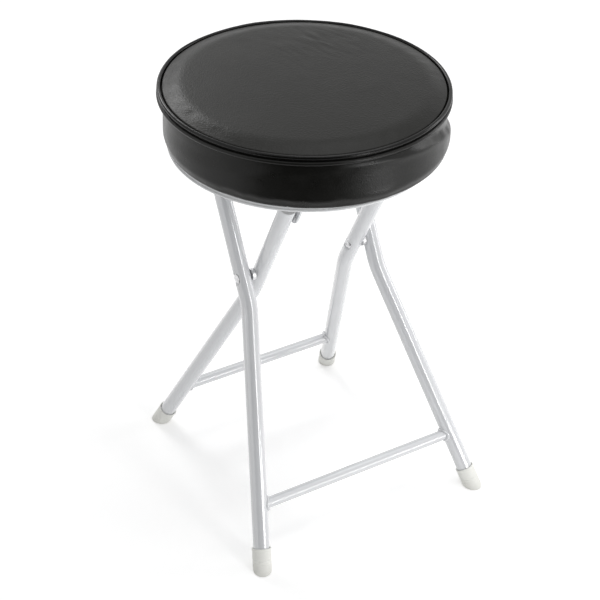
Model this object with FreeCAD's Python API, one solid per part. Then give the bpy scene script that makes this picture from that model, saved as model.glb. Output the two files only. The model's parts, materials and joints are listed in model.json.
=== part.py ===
import FreeCAD, Part
import math
import os

# Round folding stool. Millimetres and degrees, +Z up, origin on the floor in the
# middle of the stool's outline, X along the pivot line of the two leg frames.

os.makedirs("parts", exist_ok=True)

V = FreeCAD.Vector
AXIS_X = V(1, 0, 0)
AXIS_Y = V(0, 1, 0)
AXIS_Z = V(0, 0, 1)
ORIGIN = V(0, 0, 0)

# Clearances
shaft_fit = 0.05            # radial play of a shaft in its hole
moving_gap = 0.3            # play between faces that move past each other
soft_gap = 0.3              # play round the foam
seam_gap = 0.2              # cover's top panel to the piping

# Leg frames
tube_d = 18.0
tube_wall = 1.2
bend_radius = 110.0
pivot_height = 278.0        # floor to the pivot rivets
inner_half_width = 59.5     # middle of the stool to the inner tubes' centre lines
pivot_gap = 4.5             # free space between an inner and an outer tube
outer_lean_deg = 28.4       # each frame against the vertical
inner_lean_deg = 26.1
outer_bend_drop = 32.0      # pivot to the corner of each leg's bend
inner_bend_drop = 34.0
outer_splay_deg = 11.8      # how far each leg turns outwards there
inner_splay_deg = 12.2
rod_reach = 137.5           # pivot to the rest rod, along the outer frame
hinge_reach = 104.0         # pivot to the seat hinge, along the inner frame
outer_top_margin = 9.0      # tube left beyond the rest rod
inner_top_margin = 18.0     # tube left beyond the seat hinge
plug_stem = 3.0
plug_dome = 2.0

# Crossbars
bar_d = 12.0
bar_wall = 1.0
outer_bar_height = 61.0     # floor to each bar's centre line
inner_bar_height = 67.0
weld_leg = 2.0              # size of the weld bead round each end
weld_run = 4.0

# Rest rod
rod_d = 10.0
rod_stickout = 3.0          # rod left outside each outer tube
rod_cap_d = 15.0
rod_cap_h = 4.6

# Rivets and washers
rivet_d = 6.0
rivet_head_d = 10.4
rivet_head_h = 2.2
rivet_head_rim = 0.6
recess_r = 6.3              # round flat pressed into a tube for a rivet's head
recess_depth = 2.4
hinge_head_h = 2.0
blind_head_d = 9.0          # hinge rivets' hidden heads, inside the tubes
blind_head_h = 2.5
spacer_d = 13.5
hinge_washer_d = 14.0
hinge_washer_t = 1.0

# Feet
cap_wall = 1.4
cap_length = 25.0           # along the leg, floor to the cap's mouth
cap_lip_h = 2.5
cap_lip_proud = 0.3
cap_groove_depth = 0.5
cap_groove_w = 1.2
cap_grooves = (8.0, 11.5)   # above the floor, along the leg
sole_t = 9.0                # rubber under the tube's end, along the leg

# Seat pan
rod_drop = 21.25            # pan's underside to the rest rod's centre
seat_offset = 16.0          # pivot line to the seat's centre, towards +Y
pan_inset = 4.6             # pan's side inside the cushion's foot
pan_t = 1.2
pan_corner_r = 3.0
pan_skirt_h = 5.2           # pan's underside to the bottom of its rolled bead
bead_r = 1.7

# Hinge straps and rod hooks, bent from flat steel
plate_t = 2.5
plate_bend_r = 1.5
flange_len = 24.5
ear_r = 9.0
hook_half_width = 16.0
hook_arm = 7.2
hook_depth = 9.0            # how far the hook's arm reaches below the rod's centre
hook_flare = 3.4
hook_flare_depth = 5.6

# Small fasteners
flange_rivet_d = 4.0
flange_rivet_head_d = 8.0
flange_rivet_head_h = 1.6
flange_rivet_top_h = 1.2
flange_rivet_pitch = 10.0
screw_inset = 37.4          # screws' circle inside the pan's side
screw_count = 4
screw_d = 4.0
screw_head_d = 9.0
screw_head_h = 2.6
screw_reach = 7.0           # thread in the board
staple_count = 20
staple_inset = 15.0         # staples' circle inside the cushion's foot
staple_w = 10.0
staple_wire = 0.6
staple_leg = 6.0

# Cushion
seat_r = 150.0              # to the centre line of the piping
piping_d = 5.0
band_h = 59.0               # cushion's underside to the piping's centre line
band_foot_inset = 3.0       # side band's foot inside the piping's centre line
band_top_inset = 1.0        # its top edge inside the piping's centre line
band_bulge = 1.5
band_corner_r = 3.0
cover_t = 1.0
wrap_w = 18.0               # cover turned under the board
board_inset = 3.5           # board's edge inside the cover
board_t = 9.0
board_chamfer = 2.0
crown_h = 8.5               # piping's centre line to the top of the crown
shoulder_inset = 18.0       # crown's shoulder inside the piping's centre line
shoulder_h = 5.6
rim_h = 0.5                 # panel's edge above the piping's centre line
rim_bulge = 1.5
welt_w = 4.3                # sewn edge of the piping, inside the seam
welt_t = 0.8

# Sizes that follow from the ones above
tube_r = tube_d / 2
rod_r = rod_d / 2
rivet_r = rivet_d / 2
piping_r = piping_d / 2
outer_half_width = inner_half_width + tube_d + pivot_gap
cap_r = tube_r + cap_wall
outer_top = rod_reach + outer_top_margin
inner_top = hinge_reach + inner_top_margin


def rad(angle):
    return math.radians(angle)


# The outline's middle lies over the origin: outer feet in front, seat's edge behind.
front_reach = pivot_height * math.tan(rad(outer_lean_deg)) + cap_r / math.cos(rad(outer_lean_deg))
back_reach = seat_offset + seat_r + piping_r
pivot_y = (front_reach - back_reach) / 2
seat_y = pivot_y + seat_offset

rod_y = pivot_y + rod_reach * math.sin(rad(outer_lean_deg))
rod_z = pivot_height + rod_reach * math.cos(rad(outer_lean_deg))
hinge_y = pivot_y - hinge_reach * math.sin(rad(inner_lean_deg))
hinge_z = pivot_height + hinge_reach * math.cos(rad(inner_lean_deg))

pan_under = rod_z + rod_drop
pan_top = pan_under + pan_t
cushion_bottom = pan_top + staple_wire
board_bottom = cushion_bottom + cover_t
board_top = board_bottom + board_t
band_foot_r = seat_r - band_foot_inset
board_r = band_foot_r - cover_t - board_inset
pan_r = band_foot_r - pan_inset
screw_circle_r = pan_r - screw_inset
staple_circle_r = band_foot_r - staple_inset
seam_z = cushion_bottom + band_h
band_top = seam_z - piping_r - soft_gap
band_top_r = seat_r - band_top_inset

# Faces of the straps and hooks, inside the inner tubes
plate_out_x = inner_half_width - tube_r - hinge_washer_t - moving_gap
plate_in_x = plate_out_x - plate_t


def seg(a, b):
    return Part.LineSegment(a, b).toShape()


def arc(a, m, b):
    return Part.Arc(a, m, b).toShape()


def rz(r, z):
    return V(r, 0, z)


def turned(edges):
    # A profile in the XZ plane, turned once round the Z axis.
    outline = Part.Wire(Part.__sortEdges__(edges))
    return Part.Face(outline).revolve(ORIGIN, AXIS_Z, 360)


def turned_points(points):
    corners = [rz(r, z) for r, z in points]
    corners.append(corners[0])
    return turned([seg(a, b) for a, b in zip(corners[:-1], corners[1:])])


def moved(shape, x, y, z):
    shape = shape.copy()
    shape.translate(V(x, y, z))
    return shape


def turned_about(shape, axis, angle):
    shape = shape.copy()
    shape.rotate(ORIGIN, axis, angle)
    return shape


def mirrored(shape):
    return shape.mirror(ORIGIN, AXIS_X)


def rod_x(radius, x_a, x_b, z=0.0):
    # A round bar along X at height z of a frame's own plane.
    start = min(x_a, x_b)
    return Part.makeCylinder(radius, max(x_a, x_b) - start, V(start, 0, z), AXIS_X)


def along_x(shape, x, facing=1):
    # A shape turned on the Z axis, laid along +X or -X from a place on that axis.
    return moved(turned_about(shape, AXIS_Y, 90 * facing), x, 0, 0)


def cap_height(r, edge_r, rise):
    # Height above its edge of a spherical cap's surface, at radius r.
    ball_r = (edge_r ** 2 + rise ** 2) / (2 * rise)
    return rise - ball_r + math.sqrt(ball_r ** 2 - r ** 2)


def domed_head(radius, height, rim):
    half_way = rim + cap_height(radius / 2, radius, height - rim)
    return turned([
        seg(rz(0, 0), rz(radius, 0)),
        seg(rz(radius, 0), rz(radius, rim)),
        arc(rz(radius, rim), rz(radius / 2, half_way), rz(0, height)),
        seg(rz(0, height), rz(0, 0)),
    ])


def save(name, shape):
    shape.exportStep("parts/" + name + ".step")


def save_pair(name, shape):
    save("right_" + name, shape)
    save("left_" + name, mirrored(shape))


# Leg frames. Each is drawn upright in the XZ plane, with the pivot at the origin,
# and then leans about the pivot line.

def stand(shape, lean):
    return moved(turned_about(shape, AXIS_X, lean), 0, pivot_y, pivot_height)


def stand_outer(shape):
    return stand(shape, -outer_lean_deg)


def stand_inner(shape):
    return stand(shape, inner_lean_deg)


def foot_length(lean, bend_drop, splay):
    # From the corner of the bend to the floor, along the leg.
    return (pivot_height / math.cos(rad(lean)) - bend_drop) / math.cos(rad(splay))


def leg_direction(splay):
    return V(math.sin(rad(splay)), 0, -math.cos(rad(splay)))


def leg_path(half_width, top, bend_drop, splay, length):
    corner = V(half_width, 0, -bend_drop)
    down = leg_direction(splay)
    tangent = bend_radius * math.tan(rad(splay / 2))
    centre = corner + V(bend_radius, 0, tangent)
    to_middle = V(-math.cos(rad(splay / 2)), 0, -math.sin(rad(splay / 2)))
    start = corner + V(0, 0, tangent)
    end = corner + down * tangent
    return Part.Wire([
        seg(V(half_width, 0, top), start),
        arc(start, centre + to_middle * bend_radius, end),
        seg(end, corner + down * length),
    ])


def swept(path, radius, top_centre):
    circle = Part.Wire(Part.makeCircle(radius, top_centre, AXIS_Z))
    return path.makePipeShell([circle], True, False)


class Frame:
    def __init__(self, half_width, top, lean, bend_drop, splay, bar_height, stand_up):
        self.half_width = half_width
        self.top = top
        self.splay = splay
        self.stand_up = stand_up
        length = foot_length(lean, bend_drop, splay)
        path = leg_path(half_width, top, bend_drop, splay, length - sole_t)
        top_centre = V(half_width, 0, top)
        self.solid_leg = swept(path, tube_r, top_centre)
        self.bore = swept(path, tube_r - tube_wall, top_centre)
        self.foot = V(half_width, 0, -bend_drop) + leg_direction(splay) * length
        self.bar_z = (bar_height - pivot_height) / math.cos(rad(lean))
        below_bend = -self.bar_z - bend_drop
        self.bar_half = half_width + below_bend * math.tan(rad(splay))

    def recess_face(self, facing):
        # Where a rivet's head lies, on the tube's outside (1) or its inside (-1).
        return self.half_width + facing * (tube_r - recess_depth)

    def leg(self, recess_facing, through_holes, inner_wall_holes):
        # A tube with a recess for the pivot rivet's head, and with holes along X that
        # are given as (radius, height).
        face = self.recess_face(recess_facing)
        crown = self.half_width + recess_facing * tube_r
        cup = rod_x(recess_r + tube_wall, face - recess_facing * tube_wall, crown)
        tube = self.solid_leg.cut(self.bore).fuse(cup.common(self.solid_leg))
        tube = tube.cut(rod_x(recess_r, face, crown + recess_facing * recess_depth))
        for radius, height in through_holes:
            tube = tube.cut(rod_x(radius, 0, self.half_width + tube_d, height))
        for radius, height in inner_wall_holes:
            tube = tube.cut(rod_x(radius, 0, self.half_width, height))
        return self.stand_up(tube)

    def crossbar(self):
        bar_r = bar_d / 2
        bar = rod_x(bar_r, -self.bar_half, self.bar_half, self.bar_z)
        face = self.bar_half - tube_r / math.cos(rad(self.splay))
        for facing in (1, -1):
            start = V(facing * (face - weld_run), 0, self.bar_z)
            bead = Part.makeCone(bar_r, bar_r + weld_leg, weld_run, start, AXIS_X * facing)
            seat = V(facing * face, 0, self.bar_z)
            root = Part.makeCylinder(bar_r + weld_leg, tube_r, seat, AXIS_X * facing)
            bar = bar.fuse([bead, root])
        bar = bar.cut(rod_x(bar_r - bar_wall, -self.bar_half, self.bar_half, self.bar_z))
        bar = bar.cut(self.solid_leg)
        bar = bar.cut(mirrored(self.solid_leg))
        return self.stand_up(largest(bar))

    def plugs(self):
        stem = Part.makeCylinder(tube_r - tube_wall, plug_stem, V(0, 0, -plug_stem), AXIS_Z)
        plug = stem.fuse(domed_head(tube_r, plug_dome, plug_dome / 3)).removeSplitter()
        plug = self.stand_up(moved(plug, self.half_width, 0, self.top))
        return Part.makeCompound([plug, mirrored(plug)])

    def foot_cap(self):
        cap = turned_about(cap_blank(), AXIS_Y, -self.splay)
        cap = self.stand_up(moved(cap, self.foot.x, self.foot.y, self.foot.z))
        reach = self.half_width + pivot_height
        floor = Part.makeBox(2 * reach, 2 * reach, reach, V(-reach, -reach, -reach))
        return cap.cut(floor)


def largest(shape):
    return max(shape.Solids, key=lambda solid: solid.Volume)


def cap_blank():
    # A rubber ferrule on the Z axis with z = 0 where the axis meets the floor. It runs
    # on below, and the floor's plane cuts its sole.
    below = cap_r * 2
    points = [(0, -below), (cap_r, -below)]
    for height in cap_grooves:
        points.append((cap_r, height - cap_groove_w / 2))
        points.append((cap_r - cap_groove_depth, height))
        points.append((cap_r, height + cap_groove_w / 2))
    lip_r = cap_r + cap_lip_proud
    points += [
        (cap_r - cap_lip_proud, cap_length - cap_lip_h),
        (lip_r, cap_length - cap_lip_h * 0.6),
        (lip_r, cap_length - cap_lip_proud),
        (lip_r - cap_lip_proud, cap_length),
        (tube_r, cap_length),
        (tube_r, sole_t),
        (0, sole_t),
    ]
    return turned_points(points)


outer = Frame(outer_half_width, outer_top, outer_lean_deg, outer_bend_drop,
              outer_splay_deg, outer_bar_height, stand_outer)
inner = Frame(inner_half_width, inner_top, inner_lean_deg, inner_bend_drop,
              inner_splay_deg, inner_bar_height, stand_inner)

rivet_hole_r = rivet_r + shaft_fit
save_pair("outer_leg", outer.leg(1, [(rivet_hole_r, 0), (rod_r + shaft_fit, rod_reach)], []))
save_pair("inner_leg", inner.leg(-1, [(rivet_hole_r, 0)], [(rivet_hole_r, hinge_reach)]))
save("outer_crossbar", outer.crossbar())
save("inner_crossbar", inner.crossbar())
save("outer_tube_plugs", outer.plugs())
save("inner_tube_plugs", inner.plugs())
save_pair("outer_foot", outer.foot_cap())
save_pair("inner_foot", inner.foot_cap())


# Rest rod: it joins the outer tubes' tops, and the seat's hooks lie on it.

rod_half = outer_half_width + tube_r + rod_stickout


def rest_rod():
    return stand_outer(rod_x(rod_r, -rod_half, rod_half, rod_reach))


def rod_caps():
    socket = Part.makeCylinder(rod_r + shaft_fit, rod_stickout, ORIGIN, AXIS_Z)
    cap = domed_head(rod_cap_d / 2, rod_cap_h, rod_cap_h / 3).cut(socket)
    cap = moved(along_x(cap, outer_half_width + tube_r), 0, 0, rod_reach)
    cap = stand_outer(cap)
    return Part.makeCompound([cap, mirrored(cap)])


save("rest_rod", rest_rod())
save("rod_caps", rod_caps())


# Rivets. A pivot rivet has a domed head outside and a set head inside, both sunk in the
# tubes. A hinge rivet has a set head at the strap and a blind head inside the tube.

def set_head(height):
    head = domed_head(rivet_head_d / 2, height, rivet_head_rim)
    dimple = Part.makeCone(0, rivet_r, height, V(0, 0, height / 3), AXIS_Z)
    return head.cut(dimple)


def pivot_rivet(inside_x, outside_x):
    shank = rod_x(rivet_r, inside_x, outside_x)
    outside = along_x(domed_head(rivet_head_d / 2, rivet_head_h, rivet_head_rim), outside_x)
    inside = along_x(set_head(rivet_head_h), inside_x, -1)
    return shank.fuse([outside, inside])


def hinge_rivet(strap_x, bore_x):
    shank = rod_x(rivet_r, strap_x, bore_x + blind_head_h, hinge_reach)
    head = moved(along_x(set_head(hinge_head_h), strap_x, -1), 0, 0, hinge_reach)
    blind_head = rod_x(blind_head_d / 2, bore_x, bore_x + blind_head_h, hinge_reach)
    return shank.fuse([head, blind_head.common(inner.bore)])


def washer_x(diameter, bore_r, x_from, x_to):
    return rod_x(diameter / 2, x_from, x_to).cut(rod_x(bore_r, x_from, x_to))


def inner_pair(shape):
    shape = stand_inner(shape)
    return Part.makeCompound([shape, mirrored(shape)])


inner_face = inner_half_width - tube_r
inner_outside = inner_half_width + tube_r
outer_head_x = outer.recess_face(1) + moving_gap
inner_head_x = inner.recess_face(-1)
pivot_spacer = washer_x(spacer_d, rivet_r, inner_outside, inner_outside + pivot_gap - moving_gap)
hinge_washer = washer_x(hinge_washer_d, rivet_r, inner_face - hinge_washer_t, inner_face)

save("pivot_rivets", inner_pair(pivot_rivet(inner_head_x, outer_head_x)))
save("pivot_spacers", inner_pair(pivot_spacer))
save("hinge_rivets", inner_pair(hinge_rivet(plate_in_x - moving_gap, inner_face + tube_wall)))
save("hinge_washers", inner_pair(moved(hinge_washer, 0, 0, hinge_reach)))


# Hinge straps and rod hooks. Each is an outline in the YZ plane, cut from a strip
# that is bent at a right angle under the pan.

def bent_strip(length_below):
    bend_out = plate_bend_r + plate_t
    half = math.sqrt(0.5)
    flange_x = plate_out_x - flange_len
    bend_x = plate_out_x - bend_out
    bend_z = pan_under - bend_out
    strip = Part.Face(Part.Wire([
        seg(rz(plate_out_x, pan_under - length_below), rz(plate_out_x, bend_z)),
        arc(rz(plate_out_x, bend_z), rz(bend_x + bend_out * half, bend_z + bend_out * half),
            rz(bend_x, pan_under)),
        seg(rz(bend_x, pan_under), rz(flange_x, pan_under)),
        seg(rz(flange_x, pan_under), rz(flange_x, pan_under - plate_t)),
        seg(rz(flange_x, pan_under - plate_t), rz(bend_x, pan_under - plate_t)),
        arc(rz(bend_x, pan_under - plate_t),
            rz(bend_x + plate_bend_r * half, bend_z + plate_bend_r * half),
            rz(plate_in_x, bend_z)),
        seg(rz(plate_in_x, bend_z), rz(plate_in_x, pan_under - length_below)),
        seg(rz(plate_in_x, pan_under - length_below), rz(plate_out_x, pan_under - length_below)),
    ]))
    strip.translate(V(0, -2 * seat_r, 0))
    return strip.extrude(V(0, 4 * seat_r, 0))


def cut_from_strip(edges, length_below):
    outline = Part.Face(Part.Wire(edges)).extrude(V(plate_out_x, 0, 0))
    return outline.common(bent_strip(length_below))


def hinge_strap():
    # The strap follows the inner tube's line and ends in a round ear at the hinge.
    up = V(0, -math.sin(rad(inner_lean_deg)), math.cos(rad(inner_lean_deg)))
    across = V(0, math.cos(rad(inner_lean_deg)), math.sin(rad(inner_lean_deg)))
    centre = V(0, hinge_y, hinge_z)
    rise = (pan_under - hinge_z) / up.z

    def top_point(side):
        slant = side * ear_r * across.z / up.z
        return centre + across * (side * ear_r) + up * (rise - slant)

    edges = [
        seg(top_point(-1), centre - across * ear_r),
        arc(centre - across * ear_r, centre - up * ear_r, centre + across * ear_r),
        seg(centre + across * ear_r, top_point(1)),
        seg(top_point(1), top_point(-1)),
    ]
    strap = cut_from_strip(edges, pan_under - hinge_z + 2 * ear_r)
    hole = Part.makeCylinder(rivet_r + shaft_fit, plate_out_x, V(0, hinge_y, hinge_z), AXIS_X)
    return strap.cut(hole)


def rod_hook():
    # An arm behind the rod stops the frames from spreading; the front side flares, so
    # that the rod can leave as the seat is lifted.
    centre = V(0, rod_y, rod_z)
    throat = rod_r + moving_gap
    tip = hook_arm / 2

    def at(y, z):
        return centre + V(0, y, z)

    edges = [
        seg(at(-hook_half_width, rod_drop), at(-hook_half_width, -hook_flare_depth + tip)),
        seg(at(-hook_half_width, -hook_flare_depth + tip),
            at(-throat - hook_flare, -hook_flare_depth)),
        seg(at(-throat - hook_flare, -hook_flare_depth), at(-throat, 0)),
        arc(at(-throat, 0), at(0, throat), at(throat, 0)),
        seg(at(throat, 0), at(throat, -hook_depth)),
        arc(at(throat, -hook_depth), at(throat + tip, -hook_depth - tip),
            at(throat + hook_arm, -hook_depth)),
        seg(at(throat + hook_arm, -hook_depth), at(throat + hook_arm, 0)),
        seg(at(throat + hook_arm, 0), at(hook_half_width, rod_drop)),
        seg(at(hook_half_width, rod_drop), at(-hook_half_width, rod_drop)),
    ]
    return cut_from_strip(edges, rod_drop + hook_depth + 2 * hook_arm)


strap_top_y = hinge_y - (pan_under - hinge_z) * math.tan(rad(inner_lean_deg))
first_rivet_x = plate_out_x - plate_t - plate_bend_r - flange_rivet_head_d / 2
flange_rivet_places = [
    (first_rivet_x - step * flange_rivet_pitch, y)
    for y in (strap_top_y, rod_y)
    for step in (0, 1)
]


def drilled(shape, places, radius):
    for x, y in places:
        hole = Part.makeCylinder(radius, pan_top + plate_t, V(x, y, 0), AXIS_Z)
        shape = shape.cut(hole)
    return shape


save_pair("hinge_strap", drilled(hinge_strap(), flange_rivet_places[:2], flange_rivet_d / 2))
save_pair("rod_hook", drilled(rod_hook(), flange_rivet_places[2:], flange_rivet_d / 2))


def flange_rivets():
    flange_under = pan_under - plate_t
    head_r = flange_rivet_head_d / 2
    shank = Part.makeCylinder(flange_rivet_d / 2, pan_top - flange_under, V(0, 0, flange_under))
    foot = domed_head(head_r, flange_rivet_head_h, flange_rivet_head_h / 4)
    foot = moved(turned_about(foot, AXIS_X, 180), 0, 0, flange_under)
    head = Part.makeCylinder(head_r, flange_rivet_top_h, V(0, 0, pan_top))
    rivet = shank.fuse([foot, head])
    right = [moved(rivet, x, y, 0) for x, y in flange_rivet_places]
    return Part.makeCompound(right + [mirrored(solid) for solid in right])


save("flange_rivets", flange_rivets())


# Seat pan: a round steel tray turned upside down, with a rolled bead round its edge.

screw_angles = [360 / screw_count * (step + 0.5) for step in range(screw_count)]
screw_places = [
    (screw_circle_r * math.cos(rad(angle)), seat_y + screw_circle_r * math.sin(rad(angle)))
    for angle in screw_angles
]


def seat_pan():
    half = math.sqrt(0.5)
    corner_z = pan_top - pan_corner_r
    bend_r = pan_corner_r - pan_t
    bead_z = pan_under - pan_skirt_h + bead_r
    tray = turned([
        seg(rz(0, pan_top), rz(pan_r - pan_corner_r, pan_top)),
        arc(rz(pan_r - pan_corner_r, pan_top),
            rz(pan_r - pan_corner_r * (1 - half), pan_top - pan_corner_r * (1 - half)),
            rz(pan_r, corner_z)),
        seg(rz(pan_r, corner_z), rz(pan_r, bead_z)),
        seg(rz(pan_r, bead_z), rz(pan_r - pan_t, bead_z)),
        seg(rz(pan_r - pan_t, bead_z), rz(pan_r - pan_t, corner_z)),
        arc(rz(pan_r - pan_t, corner_z),
            rz(pan_r - pan_corner_r + bend_r * half, corner_z + bend_r * half),
            rz(pan_r - pan_corner_r, pan_under)),
        seg(rz(pan_r - pan_corner_r, pan_under), rz(0, pan_under)),
        seg(rz(0, pan_under), rz(0, pan_top)),
    ])
    bead = Part.makeTorus(pan_r - pan_t / 2, bead_r, V(0, 0, bead_z), AXIS_Z)
    pan = moved(tray.fuse(bead), 0, seat_y, 0)
    both_sides = flange_rivet_places + [(-x, y) for x, y in flange_rivet_places]
    pan = drilled(pan, both_sides, flange_rivet_d / 2)
    return drilled(pan, screw_places, screw_d / 2)


def board_screws():
    head = turned_about(domed_head(screw_head_d / 2, screw_head_h, screw_head_h / 3), AXIS_X, 180)
    shank_len = board_bottom + screw_reach - pan_under
    shank = Part.makeCylinder(screw_d / 2, shank_len)
    slot_d = screw_head_h * 0.45
    slot_w = screw_head_d * 0.13
    slot_l = screw_head_d * 0.55
    screw = shank.fuse(head)
    for length, width in ((slot_l, slot_w), (slot_w, slot_l)):
        slot = Part.makeBox(length, width, slot_d, V(-length / 2, -width / 2, -screw_head_h))
        screw = screw.cut(slot)
    return Part.makeCompound([moved(screw, x, y, pan_under) for x, y in screw_places])


save("seat_pan", seat_pan())
save("board_screws", board_screws())


# Cushion, from the board up. Its pieces are turned round the seat's own axis.

def side_r(z):
    # Outside of the side band: it widens upwards and swells a little half way.
    share = (z - cushion_bottom) / (band_top - cushion_bottom)
    straight = band_foot_r + (band_top_r - band_foot_r) * share
    return straight + band_bulge * 4 * share * (1 - share)


def side_arc(z_from, z_to, inset):
    middle = (z_from + z_to) / 2
    points = [rz(side_r(z) - inset, z) for z in (z_from, middle, z_to)]
    return arc(*points)


shoulder_r = seat_r - shoulder_inset
rim_r = seat_r - piping_r - seam_gap


def crown_z(r):
    return seam_z + shoulder_h + cap_height(r, shoulder_r, crown_h - shoulder_h)


def top_edges(inset, rim_end):
    # Crown from the axis to its shoulder, then down to the panel's edge.
    top = rz(0, crown_z(0) - inset)
    half_way = rz(shoulder_r / 2, crown_z(shoulder_r / 2) - inset)
    shoulder = rz(shoulder_r, crown_z(shoulder_r) - inset)
    swell = rim_bulge - inset
    middle = rz((shoulder_r + rim_r) / 2, seam_z + (shoulder_h + rim_h) / 2 + swell)
    edge = rz(rim_end, seam_z + rim_h - inset)
    return [arc(top, half_way, shoulder), arc(shoulder, middle, edge)], top, edge


def cover_top():
    outside, top, edge = top_edges(0, rim_r)
    inside, top_in, edge_in = top_edges(cover_t, rim_r)
    return turned(outside + [seg(edge, edge_in)] + inside + [seg(top_in, top)])


def cover_band():
    wrap_r = band_foot_r - band_corner_r - wrap_w
    corner_z = cushion_bottom + band_corner_r
    foot_r = side_r(corner_z)
    half = math.sqrt(0.5)
    inner_corner = band_corner_r - cover_t
    bend_r = foot_r - band_corner_r
    return turned([
        seg(rz(wrap_r, cushion_bottom), rz(bend_r, cushion_bottom)),
        arc(rz(bend_r, cushion_bottom),
            rz(bend_r + band_corner_r * half, corner_z - band_corner_r * half),
            rz(foot_r, corner_z)),
        side_arc(corner_z, band_top, 0),
        seg(rz(side_r(band_top), band_top), rz(side_r(band_top) - cover_t, band_top)),
        side_arc(corner_z, band_top, cover_t),
        arc(rz(foot_r - cover_t, corner_z),
            rz(bend_r + inner_corner * half, corner_z - inner_corner * half),
            rz(bend_r, board_bottom)),
        seg(rz(bend_r, board_bottom), rz(wrap_r, board_bottom)),
        seg(rz(wrap_r, board_bottom), rz(wrap_r, cushion_bottom)),
    ])


def piping():
    cord = Part.makeTorus(seat_r, piping_r, V(0, 0, seam_z), AXIS_Z)
    welt_out = seat_r - piping_r + welt_t
    welt_z = seam_z - piping_r / 2
    welt = turned_points([
        (welt_out - welt_w, welt_z - welt_t / 2),
        (welt_out, welt_z - welt_t / 2),
        (welt_out, welt_z + welt_t / 2),
        (welt_out - welt_w, welt_z + welt_t / 2),
    ])
    return cord.fuse(welt)


def seat_board():
    board = turned_points([
        (0, board_bottom), (board_r - board_chamfer, board_bottom),
        (board_r, board_bottom + board_chamfer), (board_r, board_top), (0, board_top),
    ])
    for x, y in screw_places:
        hole = Part.makeCylinder(screw_d / 2, screw_reach, V(x, y - seat_y, board_bottom))
        board = board.cut(hole)
    return board


def foam_pad():
    # The foam fills the cover, with a step under the sewn edge of the piping.
    inset = cover_t + soft_gap
    step_z = seam_z - piping_r / 2 - welt_t / 2 - soft_gap
    step_r = seat_r - piping_r + welt_t - welt_w - soft_gap
    side_top = band_top - 2 * soft_gap
    edges, top, edge = top_edges(inset, rim_r)
    foam = turned(edges + [
        seg(edge, rz(side_r(side_top) - inset, side_top)),
        side_arc(board_top, side_top, inset),
        seg(rz(side_r(board_top) - inset, board_top), rz(0, board_top)),
        seg(rz(0, board_top), top),
    ])
    return foam.cut(turned_points([
        (step_r, step_z), (seat_r, step_z), (seat_r, seam_z + crown_h), (step_r, seam_z + crown_h),
    ]))


def cover_staples():
    crown = Part.makeBox(staple_wire * 1.5, staple_w, staple_wire,
                         V(-staple_wire * 0.75, -staple_w / 2, pan_top))
    leg = Part.makeBox(staple_wire, staple_wire, staple_leg,
                       V(-staple_wire / 2, -staple_w / 2, cushion_bottom))
    staple = crown.fuse([leg, moved(leg, 0, staple_w - staple_wire, 0)])
    staple = moved(staple, staple_circle_r, 0, 0)
    step = 360 / staple_count
    return Part.makeCompound([turned_about(staple, AXIS_Z, step * k) for k in range(staple_count)])


cushion = {
    "seat_board": seat_board(),
    "foam_pad": foam_pad(),
    "cover_top": cover_top(),
    "cover_band": cover_band(),
    "piping": piping(),
    "cover_staples": cover_staples(),
}
for name, shape in cushion.items():
    save(name, moved(shape, 0, seat_y, 0))

print("pivot line       y %.3f  z %.3f" % (pivot_y, pivot_height))
print("seat hinge       y %.3f  z %.3f" % (hinge_y, hinge_z))
print("rest rod         y %.3f  z %.3f" % (rod_y, rod_z))
print("seat centre      y %.3f" % seat_y)
print("pan underside    z %.3f" % pan_under)
print("piping centre    z %.3f" % seam_z)
print("overall height   z %.3f" % crown_z(0))
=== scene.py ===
import json
import math
import bmesh
import bpy
from mathutils import Matrix, Quaternion, Vector, kdtree, noise


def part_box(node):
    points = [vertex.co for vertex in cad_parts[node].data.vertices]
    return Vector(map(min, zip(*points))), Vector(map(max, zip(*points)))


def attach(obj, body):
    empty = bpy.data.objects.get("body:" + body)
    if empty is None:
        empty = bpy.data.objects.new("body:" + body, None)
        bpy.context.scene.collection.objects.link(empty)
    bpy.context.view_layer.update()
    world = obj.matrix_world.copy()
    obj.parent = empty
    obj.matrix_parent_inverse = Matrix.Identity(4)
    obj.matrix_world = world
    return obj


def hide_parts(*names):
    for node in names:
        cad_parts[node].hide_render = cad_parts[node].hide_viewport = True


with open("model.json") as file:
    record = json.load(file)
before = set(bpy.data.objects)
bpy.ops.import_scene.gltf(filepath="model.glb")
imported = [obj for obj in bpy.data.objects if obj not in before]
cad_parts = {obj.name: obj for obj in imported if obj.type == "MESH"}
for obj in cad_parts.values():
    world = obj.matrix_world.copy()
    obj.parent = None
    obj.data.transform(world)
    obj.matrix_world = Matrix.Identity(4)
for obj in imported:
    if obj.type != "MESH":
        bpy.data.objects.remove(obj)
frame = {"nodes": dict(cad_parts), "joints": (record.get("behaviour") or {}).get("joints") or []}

# Round folding stool, dressed for rendering. Lengths in the code are millimetres.
mm = 0.001
scene = bpy.context.scene
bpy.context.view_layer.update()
print("frame loaded with", len(frame["nodes"]), "nodes")


# Small tools for making meshes

def ringPoints(radius, height, sides):
    turn = 2 * math.pi / sides
    return [Vector((radius * math.cos(k * turn), radius * math.sin(k * turn), height))
            for k in range(sides)]


def skin(rings, loop=False, tips=(None, None)):
    # quads between rings of equally many points, with a fan to a tip at either end
    points = [p for ring in rings for p in ring]
    sides = len(rings[0])
    faces = []
    for i in range(len(rings) if loop else len(rings) - 1):
        a, b = i * sides, (i + 1) % len(rings) * sides
        for k in range(sides):
            n = (k + 1) % sides
            faces.append((a + k, a + n, b + n, b + k))
    for tip, start in zip(tips, (0, (len(rings) - 1) * sides)):
        if tip is not None:
            points.append(tip)
            faces += [(start + k, start + (k + 1) % sides, len(points) - 1) for k in range(sides)]
    return points, faces


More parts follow.
